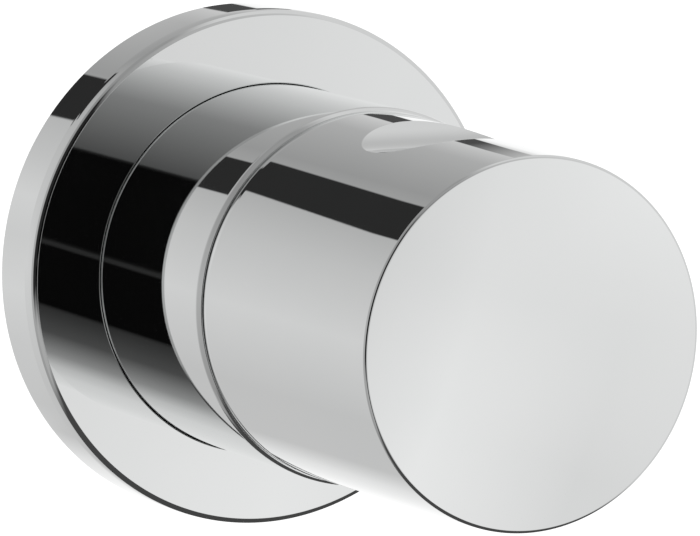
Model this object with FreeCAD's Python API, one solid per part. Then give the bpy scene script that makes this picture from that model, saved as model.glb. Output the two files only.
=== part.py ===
import FreeCAD, Part
import math
import os

# Trim and headwork of a concealed stop valve, in millimetres.
# The finished wall is the plane y = 0 and the valve's front looks along -Y, with +Z up.
# A station is a distance in front of the finished wall, so a station of 10 is y = -10,
# and stations behind the wall are negative.

# Escutcheon: a cup pressed from brass sheet, standing on the wall.
ESCUTCHEON_RADIUS = 35.0
ESCUTCHEON_DEPTH = 9.8
ESCUTCHEON_SKIN = 1.2
ESCUTCHEON_EDGE = 0.6
ESCUTCHEON_HOLE_GAP = 0.12
ESCUTCHEON_HOLE_EDGE = 0.3

# Moulded insert that centres the escutcheon on the collar.
INSERT_HUB_WALL = 2.7
INSERT_OUTER_WALL = 2.0
INSERT_WEB = 1.5
INSERT_RIB = 1.3
INSERT_RIB_COUNT = 12
WALL_SEAL_DEPTH = 1.8

# Collar: the chromed sleeve between the escutcheon and the knob.
COLLAR_RADIUS = 25.0
COLLAR_WALL = 1.9
COLLAR_BACK = 1.5
COLLAR_FRONT = 39.3
COLLAR_EDGE_LENGTH = 1.0
COLLAR_EDGE_DEPTH = 0.4
COLLAR_BACK_CHAMFER = 0.4

# Knob: a hollow casting that narrows a little towards its front, with a neck at its back
# that runs inside the collar's mouth.
KNOB_RADIUS = 23.75
KNOB_BACK_RADIUS = 24.5
KNOB_NECK_RADIUS = 23.9
KNOB_FRONT = 83.2
KNOB_WALL = 3.2
KNOB_FACE_WALL = 3.0
KNOB_EDGE = 0.45
KNOB_CROWN = 0.3
KNOB_SHOULDER_EDGE = 0.15
KNOB_OVERLAP = 3.5
KNOB_RUN_GAP = 0.15
KNOB_SEAM_GAP = 0.1

# Thumb hollow on the knob's crown, which shows how far the valve is open.
HOLLOW_STATION = 58.3
HOLLOW_LENGTH = 17.6
HOLLOW_DEPTH = 2.35
HOLLOW_EDGE = 0.3

# Hub inside the knob, and the grub screw that holds the knob from below.
HUB_WALL = 3.0
HUB_BACK = 47.0
HUB_BORE_LENGTH = 28.0
GRUB_RADIUS = 2.5
GRUB_LENGTH = 8.0
GRUB_KEY = 2.5
GRUB_KEY_DEPTH = 4.0
GRUB_STATION = 54.5
GRUB_BOSS_WALL = 2.2

# Glide ring between the collar's step and the knob's back edge.
GLIDE_RING_DEPTH = 0.95
GLIDE_RING_WIDTH = 2.3

# Spline adapter pressed into the hub.
ADAPTER_RADIUS = 8.95
ADAPTER_LENGTH = 14.0
ADAPTER_KEY_WIDTH = 2.4
ADAPTER_KEY_HEIGHT = 1.1
ADAPTER_KEY_COUNT = 4

# Splines of the spindle and of its extension.
SPLINE_TEETH = 20
SPLINE_TIP = 5.0
SPLINE_ROOT = 4.5

# Spindle extension and the long screw that ties it to the spindle.
EXTENSION_SOCKET_RADIUS = 8.0
EXTENSION_STEM_RADIUS = 6.5
EXTENSION_FRONT = 61.0
EXTENSION_SPLINE_LENGTH = 14.5
SCREW_RADIUS = 1.95
SCREW_HEAD_RADIUS = 3.5
SCREW_HEAD_DEPTH = 2.8
SCREW_GRIP = 9.0
SCREW_HOLE_SPARE = 1.0
SCREW_KEY = 3.0
SCREW_KEY_DEPTH = 1.7

# Headwork housing: a turned brass body with a hexagon, screwed into the body in the wall.
HOUSING_BACK = -48.0
HOUSING_FRONT = 14.0
CAGE_RADIUS = 11.2
CHAMBER_RADIUS = 9.0
THREAD_RADIUS = 13.2
THREAD_LENGTH = 14.0
THREAD_CHAMFER = 0.8
RELIEF_LENGTH = 2.6
RELIEF_DEPTH = 1.2
HEX_ACROSS = 30.0
HEX_BACK = -14.0
HEX_LENGTH = 8.0
BARREL_RADIUS = 11.0
WINDOW_WIDTH = 8.0
WINDOW_LENGTH = 6.0

# Ceramic discs, stacked from the seat seal forwards, and the keys that hold the back one.
SEAT_SEAL_DEPTH = 2.4
SEAT_SEAL_PROUD = 1.0
SEAT_BORE_RADIUS = 5.9
FIXED_DISC_DEPTH = 2.6
TURNING_DISC_DEPTH = 3.2
DISC_WINDOW_INNER = 2.2
DISC_WINDOW_OUTER = 7.4
DISC_WINDOW_ANGLE = 78.0
DISC_KEY_WIDTH = 2.4
DISC_KEY_HEIGHT = 0.8
DISC_SLOT_DEPTH = 1.0

# Spindle: a foot that drives the front disc, a thrust collar and a sealed stem.
SPINDLE_RADIUS = 6.0
SPINDLE_FOOT_WIDTH = 6.0
SPINDLE_FOOT_LENGTH = 16.0
SPINDLE_FOOT_DEPTH = 2.2
SPINDLE_NECK_RADIUS = 4.5
THRUST_COLLAR_DEPTH = 1.6
THRUST_COLLAR_RADIUS = 8.7
SLIDE_WASHER_DEPTH = 0.6
SPLINE_START = 15.6
SPINDLE_FRONT = 26.0

# Stops: two lugs on the spindle turn through a quarter turn between two in the housing.
TRAVEL_ANGLE = 90.0
HOUSING_LUG_ANGLE = 50.0
STOP_PLAY_ANGLE = 1.0
STOP_POCKET_DEPTH = 5.0
STOP_POCKET_RADIUS = 8.6
STOP_LUG_RADIUS = 8.35
STOP_LUG_BORE = 6.4
STOP_LUG_PLAY = 0.2

# Circlip in the spindle's groove, in front of the housing.
CIRCLIP_DEPTH = 1.0
CIRCLIP_GROOVE = 0.9
CIRCLIP_RADIUS = 8.0
CIRCLIP_OPENING_ANGLE = 50.0

# Carrier ring, screwed on the housing's barrel, with the collar pushed over it.
CARRIER_BACK = -2.0
CARRIER_LENGTH = 10.0
CARRIER_HUB_WALL = 5.0
CARRIER_RIM_WALL = 3.2
CARRIER_WEB = 3.5
CARRIER_NOTCH_WIDTH = 5.0
CARRIER_NOTCH_DEPTH = 1.8
CARRIER_NOTCH_COUNT = 4

# Rubber rings: the radius of the ring's own section.
SPINDLE_RING_SECTION = 0.95
TRIM_RING_SECTION = 1.1
HOUSING_RING_SECTION = 1.2

# Clearances shared by the fits.
PUSH_GAP = 0.05
RUN_GAP = 0.06
LAPPED_GAP = 0.02
EASY_GAP = 0.2

# Two places closer than this are the same place, and a cut runs this far past what it cuts.
SAME_PLACE = 0.001
CUT_PAST = 1.0

# Sizes that follow from the ones above.
COLLAR_BORE = COLLAR_RADIUS - COLLAR_WALL
COLLAR_MOUTH_RADIUS = KNOB_NECK_RADIUS + KNOB_RUN_GAP
KNOB_BACK = COLLAR_FRONT - KNOB_OVERLAP
KNOB_SHOULDER = COLLAR_FRONT + KNOB_SEAM_GAP
KNOB_RIM = KNOB_FRONT - KNOB_CROWN
GLIDE_RING_FRONT = KNOB_BACK - EASY_GAP
COLLAR_STEP = GLIDE_RING_FRONT - GLIDE_RING_DEPTH
KNOB_CAVITY_RADIUS = KNOB_RADIUS - KNOB_WALL
KNOB_CAVITY_FRONT = KNOB_FRONT - KNOB_FACE_WALL
HUB_BORE = ADAPTER_RADIUS + PUSH_GAP
HUB_RADIUS = HUB_BORE + HUB_WALL + ADAPTER_KEY_HEIGHT
HUB_BORE_FRONT = HUB_BACK + HUB_BORE_LENGTH
ESCUTCHEON_HOLE = COLLAR_RADIUS + ESCUTCHEON_HOLE_GAP
ESCUTCHEON_FACE_BACK = ESCUTCHEON_DEPTH - ESCUTCHEON_SKIN
THREAD_FRONT = HEX_BACK - RELIEF_LENGTH
THREAD_BACK = THREAD_FRONT - THREAD_LENGTH
HEX_FRONT = HEX_BACK + HEX_LENGTH
SEAL_BACK = HOUSING_BACK - SEAT_SEAL_PROUD
FIXED_DISC_BACK = SEAL_BACK + SEAT_SEAL_DEPTH
FIXED_DISC_FRONT = FIXED_DISC_BACK + FIXED_DISC_DEPTH
TURNING_DISC_BACK = FIXED_DISC_FRONT + LAPPED_GAP
TURNING_DISC_FRONT = TURNING_DISC_BACK + TURNING_DISC_DEPTH
DISC_RADIUS = CHAMBER_RADIUS - EASY_GAP
FOOT_BACK = TURNING_DISC_FRONT - DISC_SLOT_DEPTH + PUSH_GAP
FOOT_FRONT = FOOT_BACK + SPINDLE_FOOT_DEPTH
WINDOW_BACK = FOOT_FRONT + EASY_GAP
WINDOW_FRONT = WINDOW_BACK + WINDOW_LENGTH
THRUST_BACK = WINDOW_FRONT + EASY_GAP
THRUST_FRONT = THRUST_BACK + THRUST_COLLAR_DEPTH
CHAMBER_FRONT = THRUST_FRONT + LAPPED_GAP + SLIDE_WASHER_DEPTH
SPINDLE_BORE = SPINDLE_RADIUS + RUN_GAP
STOP_POCKET_BACK = HOUSING_FRONT - STOP_POCKET_DEPTH
CIRCLIP_BACK = HOUSING_FRONT + LAPPED_GAP
CIRCLIP_FRONT = CIRCLIP_BACK + CIRCLIP_DEPTH
CARRIER_FRONT = CARRIER_BACK + CARRIER_LENGTH
CARRIER_RADIUS = COLLAR_BORE - PUSH_GAP
CARRIER_BORE = BARREL_RADIUS + PUSH_GAP
EXTENSION_SPLINE_BACK = EXTENSION_FRONT - EXTENSION_SPLINE_LENGTH


def place(radius, station, degrees=0.0):
    """Point at a radius and station, turned from +X towards +Z."""
    angle = math.radians(degrees)
    return FreeCAD.Vector(radius * math.cos(angle), -station, radius * math.sin(angle))


def turned(outline, arcs=()):
    """Solid of revolution about the Y axis from (radius, station) corners.

    An arc is made of three such corners. It stands in the outline between its last corner and
    its first one, so the outline starts where the arc ends.
    """
    points = [place(radius, station) for radius, station in outline]
    edges = [Part.Arc(*[place(radius, station) for radius, station in arc]).toShape() for arc in arcs]
    if not arcs:
        points.append(points[0])
    edges += Part.makePolygon(points).Edges
    face = Part.Face(Part.Wire(Part.__sortEdges__(edges)))
    return solid(face.revolve(FreeCAD.Vector(0, 0, 0), FreeCAD.Vector(0, 1, 0), 360))


def solid(shape):
    """The single solid of a shape, turned the right way out."""
    found = shape.Solids[0] if shape.Solids else Part.Solid(shape)
    if found.Volume < 0:
        found.reverse()
    return found


def ring(inner, outer, back, front):
    """Plain ring, or a disc where the inner radius is nought."""
    return turned([(inner, back), (outer, back), (outer, front), (inner, front)])


def prism(corners, back, front):
    """Prism along the valve's axis from (radius, degrees) corners."""
    points = [place(radius, back, degrees) for radius, degrees in corners]
    face = Part.Face(Part.makePolygon(points + [points[0]]))
    return solid(face.extrude(FreeCAD.Vector(0, back - front, 0)))


def hexagon(across, back, front):
    corner = across / math.sqrt(3)
    return prism([(corner, 60 * i) for i in range(6)], back, front)


def splined(tip, root, back, front):
    """Straight splines of V form."""
    pitch = 360.0 / SPLINE_TEETH
    corners = []
    for tooth in range(SPLINE_TEETH):
        corners.append((tip, tooth * pitch))
        corners.append((root, (tooth + 0.5) * pitch))
    return prism(corners, back, front)


def sector(inner, outer, middle, width, back, front):
    """Block between two radii, centred on an angle."""
    low = middle - width / 2.0
    high = middle + width / 2.0
    outer_arc = Part.Arc(place(outer, back, low), place(outer, back, middle), place(outer, back, high))
    inner_arc = Part.Arc(place(inner, back, high), place(inner, back, middle), place(inner, back, low))
    edges = [
        outer_arc.toShape(),
        Part.LineSegment(place(outer, back, high), place(inner, back, high)).toShape(),
        inner_arc.toShape(),
        Part.LineSegment(place(inner, back, low), place(outer, back, low)).toShape(),
    ]
    face = Part.Face(Part.Wire(edges))
    return solid(face.extrude(FreeCAD.Vector(0, back - front, 0)))


def radial_bar(near, far, width, back, front, degrees):
    """Straight bar that runs outwards at an angle, of a width across and a length along the axis."""
    bar = Part.makeBox(far - near, front - back, width, FreeCAD.Vector(near, -front, -width / 2.0))
    bar.rotate(FreeCAD.Vector(0, 0, 0), FreeCAD.Vector(0, -1, 0), degrees)
    return bar


def rubber_ring(centre_radius, section, station):
    return Part.makeTorus(centre_radius, section, FreeCAD.Vector(0, -station, 0), FreeCAD.Vector(0, 1, 0))


def rim_edges(shape, radius, station):
    """Circular edges about the valve's axis, of one radius at one station."""
    found = []
    for edge in shape.Edges:
        curve = edge.Curve
        if not isinstance(curve, Part.Circle):
            continue
        on_axis = math.hypot(curve.Center.x, curve.Center.z) < SAME_PLACE
        at_station = abs(curve.Center.y + station) < SAME_PLACE
        if on_axis and at_station and abs(curve.Radius - radius) < SAME_PLACE:
            found.append(edge)
    return found


def escutcheon():
    inner = ESCUTCHEON_RADIUS - ESCUTCHEON_SKIN
    cup = turned([
        (inner, 0),
        (ESCUTCHEON_RADIUS, 0),
        (ESCUTCHEON_RADIUS, ESCUTCHEON_DEPTH),
        (ESCUTCHEON_HOLE, ESCUTCHEON_DEPTH),
        (ESCUTCHEON_HOLE, ESCUTCHEON_FACE_BACK),
        (inner, ESCUTCHEON_FACE_BACK),
    ])
    cup = cup.makeFillet(ESCUTCHEON_EDGE, rim_edges(cup, ESCUTCHEON_RADIUS, ESCUTCHEON_DEPTH))
    return solid(cup.makeFillet(ESCUTCHEON_HOLE_EDGE, rim_edges(cup, ESCUTCHEON_HOLE, ESCUTCHEON_DEPTH)))


def escutcheon_insert():
    """Ring of U section with ribs, and a groove for its rubber ring beside the collar."""
    bore = COLLAR_RADIUS + ESCUTCHEON_HOLE_GAP
    hub = bore + INSERT_HUB_WALL
    outer = ESCUTCHEON_RADIUS - ESCUTCHEON_SKIN - PUSH_GAP
    groove_depth = 2 * TRIM_RING_SECTION + PUSH_GAP - ESCUTCHEON_HOLE_GAP
    groove_half = TRIM_RING_SECTION + PUSH_GAP
    groove = insert_groove_station()
    body = turned([
        (bore, COLLAR_BACK),
        (hub, COLLAR_BACK),
        (hub, ESCUTCHEON_FACE_BACK - INSERT_WEB),
        (outer - INSERT_OUTER_WALL, ESCUTCHEON_FACE_BACK - INSERT_WEB),
        (outer - INSERT_OUTER_WALL, WALL_SEAL_DEPTH),
        (outer, WALL_SEAL_DEPTH),
        (outer, ESCUTCHEON_FACE_BACK),
        (bore, ESCUTCHEON_FACE_BACK),
        (bore, groove + groove_half),
        (bore + groove_depth, groove + groove_half),
        (bore + groove_depth, groove - groove_half),
        (bore, groove - groove_half),
    ])
    for rib in range(INSERT_RIB_COUNT):
        angle = rib * 360.0 / INSERT_RIB_COUNT
        near = hub - PUSH_GAP
        far = outer - INSERT_OUTER_WALL + PUSH_GAP
        web_back = ESCUTCHEON_FACE_BACK - INSERT_WEB + PUSH_GAP
        body = body.fuse(radial_bar(near, far, INSERT_RIB, WALL_SEAL_DEPTH, web_back, angle))
    return solid(body.removeSplitter())


def insert_groove_station():
    """Station of the groove's middle, between the insert's back edge and its web."""
    return (COLLAR_BACK + ESCUTCHEON_FACE_BACK) / 2.0


def escutcheon_o_ring():
    return rubber_ring(COLLAR_RADIUS + TRIM_RING_SECTION, TRIM_RING_SECTION, insert_groove_station())


def wall_seal():
    outer = ESCUTCHEON_RADIUS - ESCUTCHEON_SKIN - PUSH_GAP
    return ring(outer - INSERT_OUTER_WALL, outer, 0, WALL_SEAL_DEPTH)


def collar():
    """Sleeve with a wider mouth for the knob's neck and an edge that curves in towards the knob."""
    bend = (COLLAR_EDGE_LENGTH ** 2 + COLLAR_EDGE_DEPTH ** 2) / (2 * COLLAR_EDGE_DEPTH)
    half_turn = math.atan2(COLLAR_EDGE_DEPTH, COLLAR_EDGE_LENGTH)
    bend_start = COLLAR_FRONT - COLLAR_EDGE_LENGTH
    crest = COLLAR_RADIUS - COLLAR_EDGE_DEPTH
    edge_arc = (
        (COLLAR_RADIUS, bend_start),
        (COLLAR_RADIUS - bend * (1 - math.cos(half_turn)), bend_start + bend * math.sin(half_turn)),
        (crest, COLLAR_FRONT),
    )
    outline = [
        (crest, COLLAR_FRONT),
        (COLLAR_MOUTH_RADIUS, COLLAR_FRONT),
        (COLLAR_MOUTH_RADIUS, COLLAR_STEP),
        (COLLAR_BORE, COLLAR_STEP),
        (COLLAR_BORE, COLLAR_BACK),
        (COLLAR_RADIUS, COLLAR_BACK),
        (COLLAR_RADIUS, bend_start),
    ]
    tube = turned(outline, [edge_arc])
    return solid(tube.makeChamfer(COLLAR_BACK_CHAMFER, rim_edges(tube, COLLAR_BORE, COLLAR_BACK)))


def glide_ring():
    outer = COLLAR_MOUTH_RADIUS - PUSH_GAP
    return ring(outer - GLIDE_RING_WIDTH, outer, COLLAR_STEP, GLIDE_RING_FRONT)


def carrier_ring():
    """Ring with a threaded hub, a web at its front and a grooved rim for the collar."""
    hub = CARRIER_BORE + CARRIER_HUB_WALL
    rim = CARRIER_RADIUS - CARRIER_RIM_WALL
    web_back = CARRIER_FRONT - CARRIER_WEB
    groove_bottom = COLLAR_BORE - 2 * TRIM_RING_SECTION - PUSH_GAP
    groove_half = TRIM_RING_SECTION + PUSH_GAP
    groove = carrier_groove_station()
    body = turned([
        (CARRIER_BORE, CARRIER_BACK),
        (hub, CARRIER_BACK),
        (hub, web_back),
        (rim, web_back),
        (rim, CARRIER_BACK),
        (CARRIER_RADIUS, CARRIER_BACK),
        (CARRIER_RADIUS, groove - groove_half),
        (groove_bottom, groove - groove_half),
        (groove_bottom, groove + groove_half),
        (CARRIER_RADIUS, groove + groove_half),
        (CARRIER_RADIUS, CARRIER_FRONT),
        (CARRIER_BORE, CARRIER_FRONT),
    ])
    for notch in range(CARRIER_NOTCH_COUNT):
        angle = (notch + 0.5) * 360.0 / CARRIER_NOTCH_COUNT
        floor = CARRIER_FRONT - CARRIER_NOTCH_DEPTH
        near = CARRIER_BORE / 2.0
        cut = radial_bar(near, hub, CARRIER_NOTCH_WIDTH, floor, CARRIER_FRONT + CUT_PAST, angle)
        body = body.cut(cut)
    return solid(body)


def carrier_groove_station():
    """Station of the groove's middle, ahead of the collar's back edge."""
    return COLLAR_BACK + COLLAR_BACK_CHAMFER + 2 * TRIM_RING_SECTION


def collar_o_ring():
    return rubber_ring(COLLAR_BORE - TRIM_RING_SECTION, TRIM_RING_SECTION, carrier_groove_station())


def headwork_housing():
    relief = THREAD_RADIUS - RELIEF_DEPTH
    body = turned([
        (CHAMBER_RADIUS, HOUSING_BACK),
        (CAGE_RADIUS, HOUSING_BACK),
        (CAGE_RADIUS, THREAD_BACK),
        (THREAD_RADIUS - THREAD_CHAMFER, THREAD_BACK),
        (THREAD_RADIUS, THREAD_BACK + THREAD_CHAMFER),
        (THREAD_RADIUS, THREAD_FRONT),
        (relief, THREAD_FRONT),
        (relief, HEX_BACK),
        (BARREL_RADIUS, HEX_BACK),
        (BARREL_RADIUS, HOUSING_FRONT),
        (STOP_POCKET_RADIUS, HOUSING_FRONT),
        (STOP_POCKET_RADIUS, STOP_POCKET_BACK),
        (SPINDLE_BORE, STOP_POCKET_BACK),
        (SPINDLE_BORE, CHAMBER_FRONT),
        (CHAMBER_RADIUS, CHAMBER_FRONT),
    ])
    nut = hexagon(HEX_ACROSS, HEX_BACK, HEX_FRONT)
    chamfer = HEX_ACROSS / 2.0 + HEX_LENGTH
    nut = nut.common(turned([(0, HEX_BACK), (chamfer, HEX_BACK), (0, HEX_BACK + chamfer)]))
    nut = nut.cut(ring(0, BARREL_RADIUS - PUSH_GAP, HEX_BACK - CUT_PAST, HEX_FRONT + CUT_PAST))
    body = body.fuse(nut)
    window_far = CAGE_RADIUS + CUT_PAST
    for side in (0, 180):
        cut = radial_bar(SPINDLE_RADIUS, window_far, WINDOW_WIDTH, WINDOW_BACK, WINDOW_FRONT, side)
        body = body.cut(cut)
        lug = sector(
            STOP_LUG_BORE, STOP_POCKET_RADIUS + PUSH_GAP, side, HOUSING_LUG_ANGLE,
            STOP_POCKET_BACK - PUSH_GAP, HOUSING_FRONT,
        )
        body = body.fuse(lug)
        near = CHAMBER_RADIUS - DISC_KEY_HEIGHT
        far = (CHAMBER_RADIUS + CAGE_RADIUS) / 2.0
        key = radial_bar(near, far, DISC_KEY_WIDTH, FIXED_DISC_BACK, FIXED_DISC_FRONT, side + 90)
        body = body.fuse(key)
    return solid(body.removeSplitter())


def housing_o_ring():
    relief = THREAD_RADIUS - RELIEF_DEPTH
    station = HEX_BACK - HOUSING_RING_SECTION
    return rubber_ring(relief + HOUSING_RING_SECTION, HOUSING_RING_SECTION, station)


def seat_seal():
    return ring(SEAT_BORE_RADIUS, CHAMBER_RADIUS - PUSH_GAP, SEAL_BACK, FIXED_DISC_BACK)


def windowed_disc(back, front, window_angle):
    """Ceramic disc with two opposite windows."""
    body = ring(0, DISC_RADIUS, back, front)
    for side in (0, 180):
        window = sector(
            DISC_WINDOW_INNER, DISC_WINDOW_OUTER, window_angle + side, DISC_WINDOW_ANGLE,
            back - CUT_PAST, front + CUT_PAST,
        )
        body = body.cut(window)
    return body


def fixed_ceramic_disc():
    body = windowed_disc(FIXED_DISC_BACK, FIXED_DISC_FRONT, 0)
    near = CHAMBER_RADIUS - DISC_KEY_HEIGHT - PUSH_GAP
    width = DISC_KEY_WIDTH + 2 * PUSH_GAP
    back = FIXED_DISC_BACK - CUT_PAST
    front = FIXED_DISC_FRONT + CUT_PAST
    for side in (90, 270):
        cut = radial_bar(near, CHAMBER_RADIUS, width, back, front, side)
        body = body.cut(cut)
    return solid(body)


def turning_ceramic_disc():
    """At rest its windows stand across the fixed disc's, so the valve is shut."""
    body = windowed_disc(TURNING_DISC_BACK, TURNING_DISC_FRONT, 90)
    half = SPINDLE_FOOT_LENGTH / 2.0 + PUSH_GAP
    width = SPINDLE_FOOT_WIDTH + 2 * PUSH_GAP
    floor = TURNING_DISC_FRONT - DISC_SLOT_DEPTH
    slot = radial_bar(-half, half, width, floor, TURNING_DISC_FRONT + CUT_PAST, 0)
    return solid(body.cut(slot))


def spindle():
    ring_groove = SPINDLE_BORE - 2 * SPINDLE_RING_SECTION
    half = SPINDLE_RING_SECTION + PUSH_GAP
    outline = [
        (0, FOOT_FRONT),
        (SPINDLE_NECK_RADIUS, FOOT_FRONT),
        (SPINDLE_NECK_RADIUS, THRUST_BACK),
        (THRUST_COLLAR_RADIUS, THRUST_BACK),
        (THRUST_COLLAR_RADIUS, THRUST_FRONT),
        (SPINDLE_RADIUS, THRUST_FRONT),
    ]
    for station in spindle_ring_stations():
        outline += [
            (SPINDLE_RADIUS, station - half),
            (ring_groove, station - half),
            (ring_groove, station + half),
            (SPINDLE_RADIUS, station + half),
        ]
    groove_floor = SPINDLE_RADIUS - CIRCLIP_GROOVE
    outline += [
        (SPINDLE_RADIUS, CIRCLIP_BACK),
        (groove_floor, CIRCLIP_BACK),
        (groove_floor, CIRCLIP_FRONT + PUSH_GAP),
        (SPINDLE_RADIUS, CIRCLIP_FRONT + PUSH_GAP),
        (SPINDLE_RADIUS, SPLINE_START),
        (0, SPLINE_START),
    ]
    body = turned(outline)
    body = body.fuse(splined(SPLINE_TIP, SPLINE_ROOT, SPLINE_START - PUSH_GAP, SPINDLE_FRONT))
    half_foot = SPINDLE_FOOT_LENGTH / 2.0
    foot = radial_bar(-half_foot, half_foot, SPINDLE_FOOT_WIDTH, FOOT_BACK, FOOT_FRONT + PUSH_GAP, 0)
    body = body.fuse(foot)
    lug_angle = 180.0 - HOUSING_LUG_ANGLE - TRAVEL_ANGLE - 2 * STOP_PLAY_ANGLE
    lug_middle = HOUSING_LUG_ANGLE / 2.0 + STOP_PLAY_ANGLE + lug_angle / 2.0
    for side in (0, 180):
        lug = sector(
            SPINDLE_RADIUS - CIRCLIP_GROOVE, STOP_LUG_RADIUS, lug_middle + side, lug_angle,
            STOP_POCKET_BACK + STOP_LUG_PLAY, HOUSING_FRONT - STOP_LUG_PLAY,
        )
        body = body.fuse(lug)
    hole_floor = SPINDLE_FRONT - SCREW_GRIP - SCREW_HOLE_SPARE
    body = body.cut(ring(0, SCREW_RADIUS + PUSH_GAP, hole_floor, SPINDLE_FRONT + CUT_PAST))
    return solid(body.removeSplitter())


def spindle_ring_stations():
    """Stations of the spindle's two rubber rings, inside the hexagon's length."""
    pitch = 3 * SPINDLE_RING_SECTION
    return [HEX_BACK + pitch, HEX_BACK + 2 * pitch]


def spindle_o_ring(station):
    return rubber_ring(SPINDLE_BORE - SPINDLE_RING_SECTION, SPINDLE_RING_SECTION, station)


def slide_washer():
    back = THRUST_FRONT + LAPPED_GAP
    return ring(SPINDLE_BORE, CHAMBER_RADIUS - PUSH_GAP, back, CHAMBER_FRONT)


def spindle_circlip():
    """Open spring ring in the spindle's groove."""
    inner = SPINDLE_RADIUS - CIRCLIP_GROOVE + PUSH_GAP
    body = ring(inner, CIRCLIP_RADIUS, CIRCLIP_BACK, CIRCLIP_FRONT)
    middle = inner / 2.0
    cut = sector(
        middle, CIRCLIP_RADIUS + CUT_PAST, 270, CIRCLIP_OPENING_ANGLE,
        CIRCLIP_BACK - CUT_PAST, CIRCLIP_FRONT + CUT_PAST,
    )
    return solid(body.cut(cut))


def spindle_extension():
    socket_back = SPLINE_START + EASY_GAP
    socket_front = SPINDLE_FRONT + EASY_GAP
    shoulder = socket_front + EXTENSION_SOCKET_RADIUS - EXTENSION_STEM_RADIUS
    body = turned([
        (0, socket_back),
        (EXTENSION_SOCKET_RADIUS, socket_back),
        (EXTENSION_SOCKET_RADIUS, socket_front),
        (EXTENSION_STEM_RADIUS, shoulder),
        (EXTENSION_STEM_RADIUS, EXTENSION_SPLINE_BACK),
        (0, EXTENSION_SPLINE_BACK),
    ])
    body = body.fuse(splined(SPLINE_TIP, SPLINE_ROOT, EXTENSION_SPLINE_BACK - CUT_PAST, EXTENSION_FRONT))
    tip = SPLINE_TIP + PUSH_GAP
    root = SPLINE_ROOT + PUSH_GAP
    body = body.cut(splined(tip, root, socket_back - CUT_PAST, socket_front))
    hole_back = socket_front - CUT_PAST
    body = body.cut(ring(0, SCREW_RADIUS + EASY_GAP, hole_back, EXTENSION_FRONT + CUT_PAST))
    return solid(body.removeSplitter())


def extension_screw():
    head_front = EXTENSION_FRONT + SCREW_HEAD_DEPTH
    body = turned([
        (0, SPINDLE_FRONT - SCREW_GRIP),
        (SCREW_RADIUS, SPINDLE_FRONT - SCREW_GRIP),
        (SCREW_RADIUS, EXTENSION_FRONT),
        (SCREW_HEAD_RADIUS, EXTENSION_FRONT),
        (SCREW_HEAD_RADIUS, head_front),
        (0, head_front),
    ])
    key = hexagon(SCREW_KEY, head_front - SCREW_KEY_DEPTH, head_front + CUT_PAST)
    return solid(body.cut(key))


def spline_adapter():
    """Plastic bush with an inner spline and outer keys, tight on the extension."""
    back = EXTENSION_FRONT - ADAPTER_LENGTH
    body = ring(0, ADAPTER_RADIUS, back, EXTENSION_FRONT)
    for key in range(ADAPTER_KEY_COUNT):
        angle = (key + 0.5) * 360.0 / ADAPTER_KEY_COUNT
        far = ADAPTER_RADIUS + ADAPTER_KEY_HEIGHT
        near = ADAPTER_RADIUS / 2.0 + SPLINE_TIP / 2.0
        body = body.fuse(radial_bar(near, far, ADAPTER_KEY_WIDTH, back, EXTENSION_FRONT, angle))
    tip = SPLINE_TIP + PUSH_GAP
    root = SPLINE_ROOT + PUSH_GAP
    bore = splined(tip, root, back - CUT_PAST, EXTENSION_FRONT + CUT_PAST)
    return solid(body.cut(bore).removeSplitter())


def knob_side(station):
    """Radius of the knob's side, which narrows evenly from the shoulder to the front rim."""
    share = (station - KNOB_SHOULDER) / (KNOB_RIM - KNOB_SHOULDER)
    return KNOB_BACK_RADIUS + share * (KNOB_RADIUS - KNOB_BACK_RADIUS)


def with_thumb_hollow(body):
    """The knob with a shallow trough scooped across its crown, and the trough's edge rounded."""
    radius = (HOLLOW_LENGTH ** 2 / 4.0 + HOLLOW_DEPTH ** 2) / (2 * HOLLOW_DEPTH)
    height = knob_side(HOLLOW_STATION) - HOLLOW_DEPTH + radius
    start = FreeCAD.Vector(-KNOB_BACK_RADIUS, -HOLLOW_STATION, height)
    body = body.cut(Part.makeCylinder(radius, 2 * KNOB_BACK_RADIUS, start, FreeCAD.Vector(1, 0, 0)))
    edges = [edge for edge in body.Edges if borders_hollow(edge, height, radius)]
    return body.makeFillet(HOLLOW_EDGE, edges)


def borders_hollow(edge, height, radius):
    """True for the edges that lie both on the scooped trough and on the knob's side."""
    for point in edge.discretize(5):
        from_trough = math.hypot(point.y + HOLLOW_STATION, point.z - height) - radius
        from_side = math.hypot(point.x, point.z) - knob_side(-point.y)
        if abs(from_trough) > SAME_PLACE or abs(from_side) > SAME_PLACE:
            return False
    return True


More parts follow.
